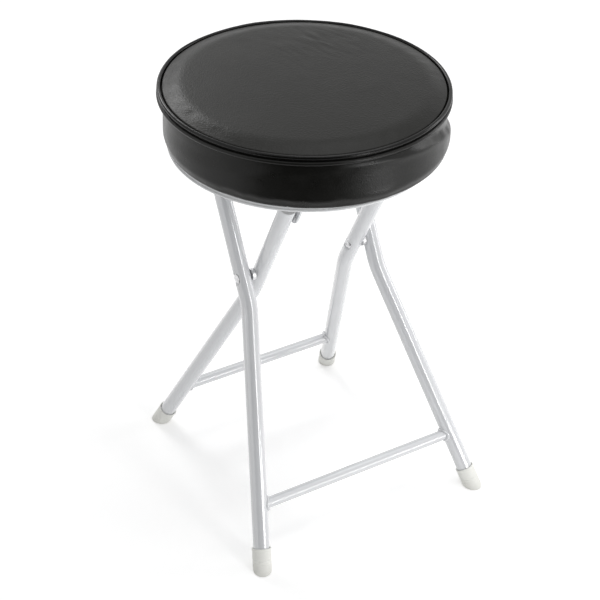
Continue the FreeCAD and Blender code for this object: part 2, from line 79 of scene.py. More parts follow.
def softened(corners, steps=4):
    # corners are (r, z) or (r, z, cut): a cut softens that corner of the profile
    line = []
    for i, corner in enumerate(corners):
        here = Vector(corner[:2])
        if len(corner) == 2 or i in (0, len(corners) - 1):
            line.append(here)
            continue
        back = Vector(corners[i - 1][:2]) - here
        on = Vector(corners[i + 1][:2]) - here
        start = here + back.normalized() * min(corner[2], back.length * 0.48)
        end = here + on.normalized() * min(corner[2], on.length * 0.48)
        for k in range(steps + 1):
            t = k / steps
            line.append(start * (1 - t) ** 2 + here * 2 * t * (1 - t) + end * t * t)
    return line


def lathed(line, sides=40, place=Matrix(), loop=False):
    # a profile of (r, z) turned about Z, then put in place
    tips = [place @ Vector((0, 0, line[i][1])) if line[i][0] < 0.01 else None for i in (0, -1)]
    rings = [[place @ p for p in ringPoints(r, z, sides)] for r, z in line if r >= 0.01]
    return skin(rings, loop, tips)


def mirrored(parts):
    return [([Vector((-p.x, p.y, p.z)) for p in points], faces) for points, faces in parts]


def meshFrom(name, parts):
    points, faces = [], []
    for partPoints, partFaces in parts:
        first = len(points)
        points += [p * mm for p in partPoints]
        faces += [tuple(first + i for i in face) for face in partFaces]
    mesh = bpy.data.meshes.new(name)
    mesh.from_pydata(points, [], faces)
    shape = bmesh.new()
    shape.from_mesh(mesh)
    bmesh.ops.recalc_face_normals(shape, faces=shape.faces)
    shape.to_mesh(mesh)
    shape.free()
    return mesh


def makePiece(name, parts, finish, body, standsFor, sharpAbove=38):
    mesh = meshFrom(name, parts)
    mesh.shade_smooth()
    mesh.set_sharp_from_angle(angle=math.radians(sharpAbove))
    mesh.materials.append(finish)
    piece = bpy.data.objects.new(name, mesh)
    scene.collection.objects.link(piece)
    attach(piece, body)
    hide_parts(*standsFor)
    return piece


# Finishes

def newFinish(name, color, roughness, metallic=0.0, specular=0.5):
    finish = bpy.data.materials.new(name)
    finish.use_nodes = True
    nodes = finish.node_tree.nodes
    shader = nodes["Principled BSDF"]
    shader.inputs["Base Color"].default_value = (*color, 1)
    shader.inputs["Roughness"].default_value = roughness
    shader.inputs["Metallic"].default_value = metallic
    shader.inputs["Specular IOR Level"].default_value = specular
    return finish, nodes, finish.node_tree.links, shader


def addNode(nodes, kind, **settings):
    node = nodes.new("ShaderNode" + kind)
    for name, value in settings.items():
        socket = name[0].upper() + name[1:]
        if socket in node.inputs:
            node.inputs[socket].default_value = value
        else:
            setattr(node, name, value)
    return node


def objectCoords(nodes, links, stretch=(1, 1, 1)):
    place = nodes.new("ShaderNodeTexCoord")
    scale = nodes.new("ShaderNodeMapping")
    scale.inputs["Scale"].default_value = stretch
    links.new(place.outputs["Object"], scale.inputs["Vector"])
    return scale.outputs["Vector"]


def noiseField(nodes, links, coords, scale, detail=3, roughness=0.55):
    field = addNode(nodes, "TexNoise", scale=scale, detail=detail, roughness=roughness)
    links.new(coords, field.inputs["Vector"])
    return field.outputs["Fac"]


def ranged(nodes, links, value, fromLow, fromHigh, toLow, toHigh):
    node = nodes.new("ShaderNodeMapRange")
    for socket, number in zip(("From Min", "From Max", "To Min", "To Max"),
                              (fromLow, fromHigh, toLow, toHigh)):
        node.inputs[socket].default_value = number
    links.new(value, node.inputs["Value"])
    return node.outputs["Result"]


def mixedColor(nodes, links, share, colorA, colorB):
    node = nodes.new("ShaderNodeMix")
    node.data_type = "RGBA"
    for socket, color in (("A", colorA), ("B", colorB)):
        target = [s for s in node.inputs if s.name == socket and s.type == "RGBA"][0]
        if isinstance(color, tuple):
            target.default_value = (*color, 1)
        else:
            links.new(color, target)
    links.new(share, node.inputs["Factor"])
    return [s for s in node.outputs if s.type == "RGBA"][0]


def bumped(nodes, links, shader, layers):
    # layers are (height output, strength, distance in mm), coarse first
    normal = None
    for height, strength, distance in layers:
        bump = nodes.new("ShaderNodeBump")
        bump.inputs["Strength"].default_value = strength
        bump.inputs["Distance"].default_value = distance * mm
        links.new(height, bump.inputs["Height"])
        if normal:
            links.new(normal, bump.inputs["Normal"])
        normal = bump.outputs["Normal"]
    links.new(normal, shader.inputs["Normal"])


def makeVinyl(name, look):
    finish, nodes, links, shader = newFinish(name, look["color"], look["roughness"],
                                             specular=look["gloss"])
    coords = objectCoords(nodes, links)
    grain = addNode(nodes, "TexVoronoi", scale=look["grain"], feature="SMOOTH_F1")
    links.new(coords, grain.inputs["Vector"])
    pores = noiseField(nodes, links, coords, look["pores"], detail=2)
    patches = noiseField(nodes, links, coords, look["patches"], detail=4)
    rubbed = noiseField(nodes, links, coords, look["rubbed"], detail=5, roughness=0.6)
    dustShare = ranged(nodes, links, patches, 0.35, 0.75, 0, 1)
    dusty = mixedColor(nodes, links, dustShare, look["color"], look["dust"])
    crests = ranged(nodes, links, grain.outputs["Distance"], 0.1, 0.6, 0.5, 0)
    links.new(mixedColor(nodes, links, crests, dusty, look["dust"]), shader.inputs["Base Color"])
    smooth, rough = look["roughness"] - look["spread"], look["roughness"] + look["spread"]
    links.new(ranged(nodes, links, rubbed, 0.3, 0.7, smooth, rough), shader.inputs["Roughness"])
    bumped(nodes, links, shader, [(rubbed, 0.1, 0.1),
                                  (grain.outputs["Distance"], look["grainBump"], 0.22),
                                  (pores, 0.4, 0.06)])
    return finish


def makePaint():
    look = {"color": (0.71, 0.72, 0.738), "shade": (0.67, 0.68, 0.698),
            "scuff": (0.57, 0.575, 0.585), "coatRoughness": 0.1, "coatIor": 1.8, "patches": 14, "peel": 420, "scratches": 260}
    finish, nodes, links, shader = newFinish("paleGreyPaint", look["color"], 0.2, specular=0.55)
    shader.inputs["Coat Weight"].default_value = 1.0
    shader.inputs["Coat Roughness"].default_value = look["coatRoughness"]
    shader.inputs["Coat IOR"].default_value = look["coatIor"]
    coords = objectCoords(nodes, links)
    patches = noiseField(nodes, links, coords, look["patches"])
    peel = noiseField(nodes, links, coords, look["peel"], detail=2)
    lengthwise = objectCoords(nodes, links, (1, 1, 0.12))
    scratches = noiseField(nodes, links, lengthwise, look["scratches"], detail=6, roughness=0.7)
    worn = ranged(nodes, links, scratches, 0.66, 0.74, 0, 0.5)
    toned = mixedColor(nodes, links, patches, look["shade"], look["color"])
    links.new(mixedColor(nodes, links, worn, toned, look["scuff"]), shader.inputs["Base Color"])
    links.new(ranged(nodes, links, patches, 0.3, 0.7, 0.16, 0.26), shader.inputs["Roughness"])
    bumped(nodes, links, shader, [(peel, 0.3, 0.06)])
    return finish


def makePanMetal():
    look = {"color": (0.8, 0.81, 0.82), "shade": (0.73, 0.74, 0.75), "patches": 22, "drawn": 180}
    finish, nodes, links, shader = newFinish("pressedPanMetal", look["color"], 0.32)
    coords = objectCoords(nodes, links)
    patches = noiseField(nodes, links, coords, look["patches"], detail=5, roughness=0.6)
    flattened = objectCoords(nodes, links, (1, 1, 6))
    drawn = noiseField(nodes, links, flattened, look["drawn"], detail=4)
    shaded = ranged(nodes, links, patches, 0.3, 0.7, 0, 1)
    links.new(mixedColor(nodes, links, shaded, look["color"], look["shade"]),
              shader.inputs["Base Color"])
    links.new(ranged(nodes, links, drawn, 0.3, 0.7, 0.26, 0.46), shader.inputs["Roughness"])
    bumped(nodes, links, shader, [(patches, 0.2, 0.1), (drawn, 0.2, 0.03)])
    return finish


def makeSteel(name, color, shade, roughness, spangle):
    finish, nodes, links, shader = newFinish(name, color, roughness, metallic=1.0)
    coords = objectCoords(nodes, links)
    flakes = addNode(nodes, "TexVoronoi", scale=spangle)
    links.new(coords, flakes.inputs["Vector"])
    smudges = noiseField(nodes, links, coords, 120, detail=4, roughness=0.6)
    flake = nodes.new("ShaderNodeSeparateColor")
    links.new(flakes.outputs["Color"], flake.inputs["Color"])
    links.new(mixedColor(nodes, links, flake.outputs["Red"], color, shade),
              shader.inputs["Base Color"])
    links.new(ranged(nodes, links, smudges, 0.3, 0.7, roughness * 0.8, roughness * 1.35),
              shader.inputs["Roughness"])
    bumped(nodes, links, shader, [(smudges, 0.3, 0.04)])
    return finish


def makeFootRubber():
    look = {"color": (0.86, 0.86, 0.82), "lowTone": (0.52, 0.51, 0.47), "speckle": 700, "patches": 60,
            "lowToneHeight": 0.012}
    finish, nodes, links, shader = newFinish("offWhiteRubber", look["color"], 0.55, specular=0.35)
    coords = objectCoords(nodes, links)
    speckle = noiseField(nodes, links, coords, look["speckle"])
    patches = noiseField(nodes, links, coords, look["patches"], detail=4, roughness=0.65)
    split = nodes.new("ShaderNodeSeparateXYZ")
    links.new(coords, split.inputs["Vector"])
    # the cap darkens in patches over its lowest 12 mm, towards the floor
    low = ranged(nodes, links, split.outputs["Z"], 0.0, look["lowToneHeight"], 0.6, 0.08)
    lowToneShare = addNode(nodes, "Math", operation="MULTIPLY")
    links.new(low, lowToneShare.inputs[0])
    links.new(ranged(nodes, links, patches, 0.38, 0.7, 0.1, 1), lowToneShare.inputs[1])
    links.new(mixedColor(nodes, links, lowToneShare.outputs["Value"], look["color"], look["lowTone"]),
              shader.inputs["Base Color"])
    links.new(ranged(nodes, links, patches, 0.3, 0.7, 0.48, 0.66), shader.inputs["Roughness"])
    bumped(nodes, links, shader, [(speckle, 0.35, 0.06)])
    return finish


def makePlugPlastic():
    look = {"color": (0.5, 0.5, 0.5), "shade": (0.42, 0.42, 0.42), "speckle": 900, "patches": 90}
    finish, nodes, links, shader = newFinish("tubePlugPlastic", look["color"], 0.42)
    coords = objectCoords(nodes, links)
    speckle = noiseField(nodes, links, coords, look["speckle"])
    patches = noiseField(nodes, links, coords, look["patches"])
    links.new(mixedColor(nodes, links, patches, look["color"], look["shade"]),
              shader.inputs["Base Color"])
    links.new(ranged(nodes, links, patches, 0.3, 0.7, 0.36, 0.5), shader.inputs["Roughness"])
    bumped(nodes, links, shader, [(speckle, 0.3, 0.04)])
    return finish


def makePlywood():
    look = {"light": (0.5, 0.33, 0.17), "dark": (0.33, 0.19, 0.085), "grain": 30, "plyBands": 50}
    finish, nodes, links, shader = newFinish("rawPlywood", look["light"], 0.7, specular=0.3)
    grainLines = noiseField(nodes, links, objectCoords(nodes, links, (1, 14, 3)), look["grain"],
                            detail=6, roughness=0.65)
    ply = addNode(nodes, "TexWave", scale=look["plyBands"], bands_direction="Z")
    links.new(objectCoords(nodes, links), ply.inputs["Vector"])
    grainShare = ranged(nodes, links, grainLines, 0.35, 0.65, 0, 1)
    grained = mixedColor(nodes, links, grainShare, look["light"], look["dark"])
    plyShare = ranged(nodes, links, ply.outputs["Fac"], 0, 1, 0, 0.35)
    links.new(mixedColor(nodes, links, plyShare, grained, look["dark"]),
              shader.inputs["Base Color"])
    bumped(nodes, links, shader, [(grainLines, 0.4, 0.15)])
    return finish


def makeFoam():
    look = {"color": (0.78, 0.7, 0.45), "cells": (0.6, 0.5, 0.28), "cellScale": 900}
    finish, nodes, links, shader = newFinish("openFoam", look["color"], 0.95, specular=0.1)
    coords = objectCoords(nodes, links)
    cells = addNode(nodes, "TexVoronoi", scale=look["cellScale"])
    links.new(coords, cells.inputs["Vector"])
    links.new(mixedColor(nodes, links, cells.outputs["Distance"], look["cells"], look["color"]),
              shader.inputs["Base Color"])
    bumped(nodes, links, shader, [(cells.outputs["Distance"], 0.8, 0.4)])
    return finish


topVinyl = makeVinyl("topPanelVinyl", {
    "color": (0.0098, 0.0098, 0.0086), "dust": (0.0148, 0.0147, 0.0128), "roughness": 0.34,
    "spread": 0.05, "gloss": 0.15, "grain": 640, "grainBump": 0.85, "pores": 1500, "patches": 9,
    "rubbed": 60})
# the side panel is the top's black vinyl with its colour and dust darkened to about half: painted
# shade on the upright side
sideVinylShadedDarker = makeVinyl("sidePanelVinylShadedDarker", {
    "color": (0.005, 0.005, 0.0043), "dust": (0.0088, 0.0088, 0.0077), "roughness": 0.31,
    "spread": 0.05, "gloss": 0.24, "grain": 760, "grainBump": 0.5, "pores": 1800, "patches": 9,
    "rubbed": 60})
# the piping is the same black vinyl darkened further, to about a third of the top's colour: painted
# shade on the cord between its highlights
cordVinylShadedDarker = makeVinyl("pipingVinylShadedDarker", {
    "color": (0.003, 0.003, 0.0028), "dust": (0.005, 0.0049, 0.0046), "roughness": 0.17,
    "spread": 0.05, "gloss": 0.2, "grain": 900, "grainBump": 0.4, "pores": 1800, "patches": 9,
    "rubbed": 60})
paint = makePaint()
panMetal = makePanMetal()
rivetSteel = makeSteel("rivetSteel", (0.76, 0.76, 0.77), (0.66, 0.66, 0.67), 0.36, 700)
platedSteel = makeSteel("zincPlatedSteel", (0.6, 0.6, 0.59), (0.48, 0.48, 0.46), 0.34, 260)
footRubber = makeFootRubber()
plugPlastic = makePlugPlastic()
plywood = makePlywood()
foam = makeFoam()
print("finishes made")


# Leg frames

pivot = Vector(next(j for j in frame["joints"] if j["name"] == "frame_fold")["pos_m"]) / mm
legTube = {
    "radius": 9.0,
    "wall": 1.2,
    "bend": 110.0,
    "bendSteps": 16,
    "sides": 96,
    "soleUnderTube": 9.0,
    "topEdge": ((0, 0.35), (0.12, 0.1), (0.4, 0)),  # how far down, and how far inside the tube
}
legFrames = {
    "outer": {"half": 82.0, "top": 146.5, "lean": -28.4, "drop": 32.0, "splay": 11.8,
              "barHeight": 61.0, "recessFacing": 1},
    "inner": {"half": 59.5, "top": 122.0, "lean": 26.1, "drop": 34.0, "splay": 12.2,
              "barHeight": 67.0, "recessFacing": -1},
}
# pressed in for each pivot rivet's head
recess = {"radius": 6.3, "depth": 2.4, "edge": 0.9, "rings": 34, "margin": 2.0}
crossbar = {"radius": 6.0, "wall": 1.0, "sides": 40, "weld": 2.1, "ripples": 17, "weldSeed": 3.7}
footCap = {"radius": 10.4, "length": 25.0, "sides": 56, "grooves": (8.0, 11.5), "grooveDepth": 0.55,
           "grooveWidth": 1.5, "bead": 0.3, "beadHeight": 2.1, "lining": 6.0}
tubePlug = {"lip": 8.8, "lipHeight": 0.8, "crown": 2.0, "depth": 3.0}


def legGeometry(setup):
    tilt = Matrix.Rotation(math.radians(setup["lean"]), 4, "X")
    setup["stand"] = Matrix.Translation(pivot) @ tilt
    splay = math.radians(setup["splay"])
    setup["down"] = Vector((math.sin(splay), 0, -math.cos(splay)))
    setup["corner"] = Vector((setup["half"], 0, -setup["drop"]))
    tall = pivot.z / math.cos(math.radians(setup["lean"])) - setup["drop"]
    setup["length"] = tall / math.cos(splay)
    setup["foot"] = setup["corner"] + setup["down"] * setup["length"]
    setup["barZ"] = (setup["barHeight"] - pivot.z) / math.cos(math.radians(setup["lean"]))
    setup["barHalf"] = setup["half"] + (-setup["barZ"] - setup["drop"]) * math.tan(splay)


def legLine(setup):
    # centre line of a right-hand leg with its direction, from the top down
    splay = math.radians(setup["splay"])
    bend = legTube["bend"]
    reach = bend * math.tan(splay / 2)
    straight = Vector((0, 0, -1))
    far = recess["radius"] + recess["margin"]
    heights = [setup["top"], setup["top"] / 2]
    heights += [far - 2 * far * k / recess["rings"] for k in range(recess["rings"] + 1)]
    line = [(Vector((setup["half"], 0, z)), straight) for z in heights]
    centre = setup["corner"] + Vector((bend, 0, reach))
    for k in range(legTube["bendSteps"] + 1):
        angle = splay * k / legTube["bendSteps"]
        line.append((centre + Vector((-math.cos(angle), 0, -math.sin(angle))) * bend,
                     Vector((math.sin(angle), 0, -math.cos(angle)))))
    end = setup["length"] - legTube["soleUnderTube"]
    for share in (0.35, 0.7, 1.0):
        along = reach + (end - reach) * share
        line.append((setup["corner"] + setup["down"] * along, setup["down"]))
    return line


def pressedIn(setup, p, inset):
    # the flat under a pivot rivet's head, with a rounded edge; inset is the tube's wall
    # for the bore
    away = math.hypot(p.y, p.z)
    share = (recess["radius"] + recess["edge"] + inset - away) / recess["edge"]
    share = min(1, max(0, share))
    out = (p.x - setup["half"]) * setup["recessFacing"]
    over = max(0, out - (legTube["radius"] - recess["depth"] - inset))
    return Vector((p.x - setup["recessFacing"] * over * share * share * (3 - 2 * share), p.y, p.z))


def tubeRing(setup, point, along, inset):
    side = Vector((0, 1, 0))
    up = along.cross(side)
    ring = []
    for k in range(legTube["sides"]):
        turn = 2 * math.pi * k / legTube["sides"]
        p = point + (side * math.cos(turn) + up * math.sin(turn)) * (legTube["radius"] - inset)
        ring.append(setup["stand"] @ pressedIn(setup, p, inset))
    return ring


def legTubeParts(setup):
    line = legLine(setup)
    top, along = line[0]
    rings = [tubeRing(setup, top + along * down, along, inset)
             for down, inset in legTube["topEdge"]]
    rings += [tubeRing(setup, p, d, 0) for p, d in line[1:]]
    rings += [tubeRing(setup, p, d, legTube["wall"]) for p, d in reversed(line)]
    return [skin(rings, loop=True)]


def barEnd(setup, y, z):
    # where the leg's surface meets the crossbar's, on the right-hand side
    splay = math.radians(setup["splay"])
    depth = math.sqrt(legTube["radius"] ** 2 - y * y)
    return setup["barHalf"] - (depth + z * math.sin(splay)) / math.cos(splay)


def crossbarParts(setup):
    sides, outside = crossbar["sides"], crossbar["radius"]
    rings = []
    for radius, out in ((outside, True), (outside - crossbar["wall"], False)):
        pair = []
        for facing in (-1, 1):
            ring = []
            for k in range(sides):
                angle = 2 * math.pi * k / sides
                y, z = radius * math.cos(angle), radius * math.sin(angle)
                end = Vector((facing * barEnd(setup, y, z), y, z + setup["barZ"]))
                ring.append(setup["stand"] @ end)
            pair.append(ring)
        rings += pair if out else pair[::-1]
    return [skin(rings, loop=True)]


def weldParts(setup, seed):
    # a lumpy bead round the bar, lying on the leg
    steps, sides = 72, 10
    rings = []
    for k in range(steps):
        angle = 2 * math.pi * k / steps
        drift = 2 * noise.noise(Vector((angle, seed, 0)))
        ripple = 0.5 + 0.5 * math.cos(crossbar["ripples"] * angle + drift)
        lump = noise.noise(Vector((math.cos(angle) * 1.4, math.sin(angle) * 1.4, seed)))
        size = crossbar["weld"] * (0.86 + 0.16 * ripple + 0.28 * lump)
        radius = crossbar["radius"] + size * 0.35
        y, z = radius * math.cos(angle), radius * math.sin(angle)
        centre = Vector((barEnd(setup, y, z) - size * 0.3, y, z + setup["barZ"]))
        out = Vector((0, math.cos(angle), math.sin(angle)))
        ring = []
        for j in range(sides):
            swing = 2 * math.pi * j / sides
            offset = out * math.sin(swing) * 0.85 + Vector((math.cos(swing), 0, 0))
            ring.append(setup["stand"] @ (centre + offset * size))
        rings.append(ring)
    bead = skin(rings, loop=True)
    return [bead] + mirrored([bead])


def footParts(setup):
    place = setup["stand"] @ Matrix.Translation(setup["foot"])
    place = place @ Matrix.Rotation(-math.radians(setup["splay"]), 4, "Y")
    rise = (place.to_3x3() @ Vector((0, 0, 1))).z
    radius, sides = footCap["radius"], footCap["sides"]

    def soleRing(r, lift):
        ring = []
        for p in ringPoints(r, 0, sides):
            above = (lift - (place @ p).z) / rise
            ring.append(place @ (p + Vector((0, 0, above))))
        return ring

    sole = ((radius * 0.5, 0.25), (radius - 2.4, 0.12), (radius - 1.1, 0.0), (radius - 0.45, 0.12),
            (radius - 0.1, 0.55), (radius, 1.2))
    rings = [soleRing(r, lift) for r, lift in sole]
    half, depth = footCap["grooveWidth"] / 2, footCap["grooveDepth"]
    wall = []
    for height in footCap["grooves"]:
        wall += [(radius, height - half, 0.25), (radius - depth, height, 0.3),
                 (radius, height + half, 0.25)]
    top, bead = footCap["length"], radius + footCap["bead"]
    inside = legTube["radius"] + 0.05
    wall += [(radius - 0.1, top - 3.2, 0.6), (bead, top - footCap["beadHeight"], 0.5),
             (bead, top - 0.2, 0.35), (radius - 0.5, top, 0.3), (inside, top - 1.1),
             (inside, top - footCap["lining"])]
    line = softened([(radius, footCap["grooves"][0] - half - 0.4)] + wall)
    rings += [[place @ p for p in ringPoints(r, z, sides)] for r, z in line]
    return [skin(rings, tips=(place @ Vector((0, 0, 0.2)), None))]


def plugParts(setup):
    place = setup["stand"] @ Matrix.Translation((setup["half"], 0, setup["top"]))
    bore = legTube["radius"] - legTube["wall"] - 0.05
    deep, lip, crown = tubePlug["depth"], tubePlug["lip"], tubePlug["crown"]
    line = softened([(0, -deep), (bore, -deep), (bore, 0.15), (8.7, 0.15, 0.1),
                     (lip, tubePlug["lipHeight"], 0.5), (5.2, 1.8, 2.5), (0, crown)])
    return [lathed(line, 40, place)]


for index, (kind, setup) in enumerate(legFrames.items()):
    legGeometry(setup)
    body = kind + "_frame"
    for side, turn in (("right", lambda parts: parts), ("left", mirrored)):
        makePiece(side + kind.capitalize() + "Leg", turn(legTubeParts(setup)), paint, body,
                  [side + "_" + kind + "_leg"])
        makePiece(side + kind.capitalize() + "Foot", turn(footParts(setup)), footRubber, body,
                  [side + "_" + kind + "_foot"], sharpAbove=60)
    makePiece(kind + "Crossbar", crossbarParts(setup), paint, body, [kind + "_crossbar"])
    makePiece(kind + "CrossbarWelds", weldParts(setup, crossbar["weldSeed"] + index), paint, body,
              [kind + "_crossbar"], sharpAbove=80)
    plug = plugParts(setup)
    makePiece(kind + "TubePlugs", plug + mirrored(plug), plugPlastic, body, [kind + "_tube_plugs"])
print("leg frames made")


# Rivets, spacers and washers

rivets = {
    "pivot": {"reach": 0.0, "inside": 52.9, "outside": 88.9, "headHeight": 2.2},
    "hinge": {"reach": 104.0, "inside": 46.4, "outside": 54.2, "headHeight": 2.0, "blindHead": 2.5},
}
rivetSize = {"shank": 3.0, "head": 5.2, "blindHead": 4.5}
spacerSize = {"radius": 6.75, "thick": 4.2}
washerSize = {"radius": 7.0, "thick": 1.0}


def alongX(setup, x, height, facing=1):
    place = setup["stand"] @ Matrix.Translation((x, 0, height))
    return place @ Matrix.Rotation(math.radians(90 * facing), 4, "Y")


def rivetParts(setup, rivet):
    tall, shank, head = rivet["headHeight"], rivetSize["shank"], rivetSize["head"]
    pin = [Vector((shank, 0)), Vector((shank, rivet["outside"] - rivet["inside"]))]
    setHead = softened([(shank, 0), (head, 0, 0.15), (head, 0.7, 0.35), (head * 0.7, tall, 0.6),
                        (shank, tall, 0.3), (shank * 0.5, tall * 0.55, 0.8), (0, tall * 0.45)])
    parts = [lathed(setHead, 48, alongX(setup, rivet["inside"], rivet["reach"], -1)),
             lathed(pin, 24, alongX(setup, rivet["inside"], rivet["reach"]))]
    outerEnd = alongX(setup, rivet["outside"], rivet["reach"])
    if "blindHead" in rivet:
        blind, deep = rivetSize["blindHead"], rivet["blindHead"]
        swell = softened([(shank, -deep), (blind, -deep, 0.3), (blind, 0, 0.9), (0, 0)])
        return parts + [lathed(swell, 36, outerEnd)]
    dome = softened([(shank, 0), (head, 0, 0.15), (head, 0.6, 0.3), (head - 0.6, 0.85, 0.25),
                     (head * 0.6, tall * 0.88, 1.4), (0, tall)])
    return parts + [lathed(dome, 48, outerEnd)]


def washerParts(setup, size, x, height):
    radius, thick, hole = size["radius"], size["thick"], rivetSize["shank"]
    line = softened([(hole, 0), (radius, 0, 0.35), (radius, thick, 0.35), (hole, thick)])
    return [lathed(line, 40, alongX(setup, x, height), loop=True)]


innerFrame = legFrames["inner"]
tubeOutside = innerFrame["half"] + legTube["radius"]
tubeInside = innerFrame["half"] - legTube["radius"]
for name, rivet in rivets.items():
    parts = rivetParts(innerFrame, rivet)
    makePiece(name + "Rivets", parts + mirrored(parts), rivetSteel, "inner_frame",
              [name + "_rivets"])
spacer = washerParts(innerFrame, spacerSize, tubeOutside, 0)
makePiece("pivotSpacers", spacer + mirrored(spacer), rivetSteel, "inner_frame", ["pivot_spacers"])
washer = washerParts(innerFrame, washerSize, tubeInside - washerSize["thick"],
                     rivets["hinge"]["reach"])
makePiece("hingeWashers", washer + mirrored(washer), rivetSteel, "inner_frame", ["hinge_washers"])
print("rivets made")


# Seat pan

bandLow, bandHigh = [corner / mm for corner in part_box("cover_band")]
pipingLow, pipingHigh = [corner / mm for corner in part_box("piping")]
panLow, panHigh = [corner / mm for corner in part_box("seat_pan")]
seatAxis = Matrix.Translation(((bandLow.x + bandHigh.x) / 2, (bandLow.y + bandHigh.y) / 2, 0))
seatPan = {"thick": 1.2, "corner": 3.0, "cornerSteps": 7, "bead": 1.7, "beadSteps": 20,
           "beadTurn": 0.96, "sides": 144}


def panParts():
    thick, bead = seatPan["thick"], seatPan["bead"]
    radius = panHigh.x - bead + thick / 2
    top, low = panHigh.z, panLow.z + bead
    roll = []
    for k in range(seatPan["beadSteps"] + 1):
        angle = math.radians(90 - 360 * k / seatPan["beadSteps"] * seatPan["beadTurn"])
        roll.append(Vector((radius - thick / 2 + bead * math.cos(angle),
                            low + bead * math.sin(angle))))
    line = softened([(0, top), (radius, top, seatPan["corner"]), (radius, low + bead * 0.8)],
                    seatPan["cornerSteps"])
    inside = softened([(radius - thick, low + bead),
                       (radius - thick, top - thick, seatPan["corner"] - thick),
                       (0, top - thick)], seatPan["cornerSteps"])
    return [lathed(line + roll + inside, seatPan["sides"], seatAxis)]


makePiece("seatPan", panParts(), panMetal, "seat", ["seat_pan"], sharpAbove=50)
print("seat pan made")


# Cushion

pipingCord = {"radius": 2.15, "out": 0.35, "sides": 18, "nodeRadius": 2.5, "uneven": 0.035,
              "lift": 0.35, "sway": 0.12}
cushion = {
    "around": 216,
    "seamRadius": pipingHigh.x - pipingCord["nodeRadius"],
    "seam": (pipingLow.z + pipingHigh.z) / 2,
    "bottom": bandLow.z,
}
topPanel = {
    "edge": cushion["seamRadius"] + pipingCord["out"] - pipingCord["radius"] - 0.8,
    "rings": 48,
    "dome": 3.0,
    "shoulderIn": 22.0,
    "shoulderFall": 3.7,
    "lipRise": 1.3,  # the lip turns down into the seam
    "lipWidth": 1.6,
    "lipDrop": 2.9,
}
topFolds = {
    "fade": 30.0,  # width inside the lip over which the folds die out
    "sag": 0.2,
    "sagSize": 48.0,
    "wrinkle": 0.55,
    "wrinkleWidth": 4.5,
    "wrinkleLength": 26.0,
    "wrinkleLie": (0.97, 0.24),  # direction across the wrinkles
    "patchAt": (60, 76),
    "patchSize": 48.0,
    "pucker": 0.08,
    "frontPucker": 0.22,
    "puckerCount": 11,
    "puckerIn": 5.0,  # how far inside the lip
    "puckerSize": 6.0,
    "front": -92,
    "frontSize": 34.0,
}
band = {
    "topRadius": 146.6,
    "topLean": 0.8,
    "footRadius": 149.4,
    "footLean": 3.2,
    "leanTo": -31,
    "footTaper": 2.1,
    "taperBelow": 48.0,
    "taperHeight": 10.0,
    "corner": 3.6,
    "turnIn": 18.0,
    "front": -72,
    "frontHalf": 25.0,  # the fold widens from here on, towards the back
    "frontFade": 60.0,
    "foldWidth": 10.0,
    "backFoldWidth": 18.0,
    "rollOut": 0.8,
    "rollRadius": 1.6,
    "rollDrop": 6.2,
}
# angle round the seat, and how far under the seam the side comes out there
foldLine = ((-180, 32), (-165, 29), (-150, 22), (-125, 13), (-106, 8), (-91, 8), (-80, 11),
            (-66, 16), (-54, 23), (-44, 31), (-34, 38), (-20, 44), (0, 47), (90, 42), (180, 32))
bandFolds = {
    "wave": 0.25,
    "waveCount": 2.6,
    "waveHeight": 26.0,
    "swell": 0.9,  # the pulled cover just under the front of the slanting fold
    "swellAt": -86,
    "swellWidth": 22.0,
    "swellBelow": 5.0,
    "swellHeight": 4.5,
    "foot": 0.5,  # a small swelling over the front of the foot
    "footAt": -88,
    "footWidth": 7.0,
    "footBelow": 50.0,
    "footHeight": 6.0,
}
coverCloth = {"voxel": 5.0, "pressure": 4.0, "steps": 20, "slack": 0.012, "heldBand": 6.0,
              "topReach": 0.5, "sideReach": 0.3, "stitched": 5.0, "loosening": 16.0, "neighbours": 8,
              "blend": 5.0}


def bump(value, middle, width):
    return math.exp(-((value - middle) / width) ** 2)


def eased(share):
    share = min(1, max(0, share))
    return share * share * (3 - 2 * share)


def wrapped(angle, middle):
    return (angle - middle + 180) % 360 - 180


def onCircle(angle, size, height):
    turn = math.radians(angle)
    return Vector((math.cos(turn) * size, math.sin(turn) * size, height))


def topHeight(radius, angle, folds=1):
    # crown, shoulder and lip of the top panel; folds brings its wrinkles and seam puckers
    lip = topPanel["edge"] - topPanel["lipWidth"]
    if radius < lip:
        share = max(0, 1 - (lip - radius) / topPanel["shoulderIn"])
        lift = topPanel["lipRise"] + topPanel["dome"] * (1 - (radius / lip) ** 2)
        lift += topPanel["shoulderFall"] * (1 - share * share * (1.5 - 0.5 * share))
    else:
        share = min(1, (radius - lip) / topPanel["lipWidth"])
        lift = topPanel["lipRise"] - topPanel["lipDrop"] * (1 - math.sqrt(1 - share * share))
    x, y = radius * math.cos(math.radians(angle)), radius * math.sin(math.radians(angle))
    inside = min(1, max(0, (lip - radius) / topFolds["fade"]))
    size = topFolds["sagSize"]
    drop = -topFolds["sag"] * inside * noise.noise(Vector((x / size, y / size, 1.3)))
    lieX, lieY = topFolds["wrinkleLie"]
    across, along = lieX * x + lieY * y, lieY * x - lieX * y
    sway = 0.6 * noise.noise(Vector((along / 20, across / 30, 7)))
    wave = noise.noise(Vector((across / topFolds["wrinkleWidth"] + sway,
                               along / topFolds["wrinkleLength"], 3)))
    patchX, patchY = topFolds["patchAt"]
    patch = bump(math.hypot(x - patchX, y - patchY), 0, topFolds["patchSize"])
    drop += topFolds["wrinkle"] * wave * patch * inside
    front = bump(wrapped(angle, topFolds["front"]), 0, topFolds["frontSize"])
    pucker = topFolds["pucker"] + topFolds["frontPucker"] * front
    drop -= (pucker * noise.noise(onCircle(angle, topFolds["puckerCount"], 5))
             * bump(lip - radius, topFolds["puckerIn"], topFolds["puckerSize"]))
    return cushion["seam"] + lift - drop * folds


def foldStart(angle):
    angle = wrapped(angle, 0)
    for (a, low), (b, high) in zip(foldLine[:-1], foldLine[1:]):
        if a <= angle <= b:
            return low + (high - low) * eased((angle - a) / (b - a))
    return foldLine[-1][1]


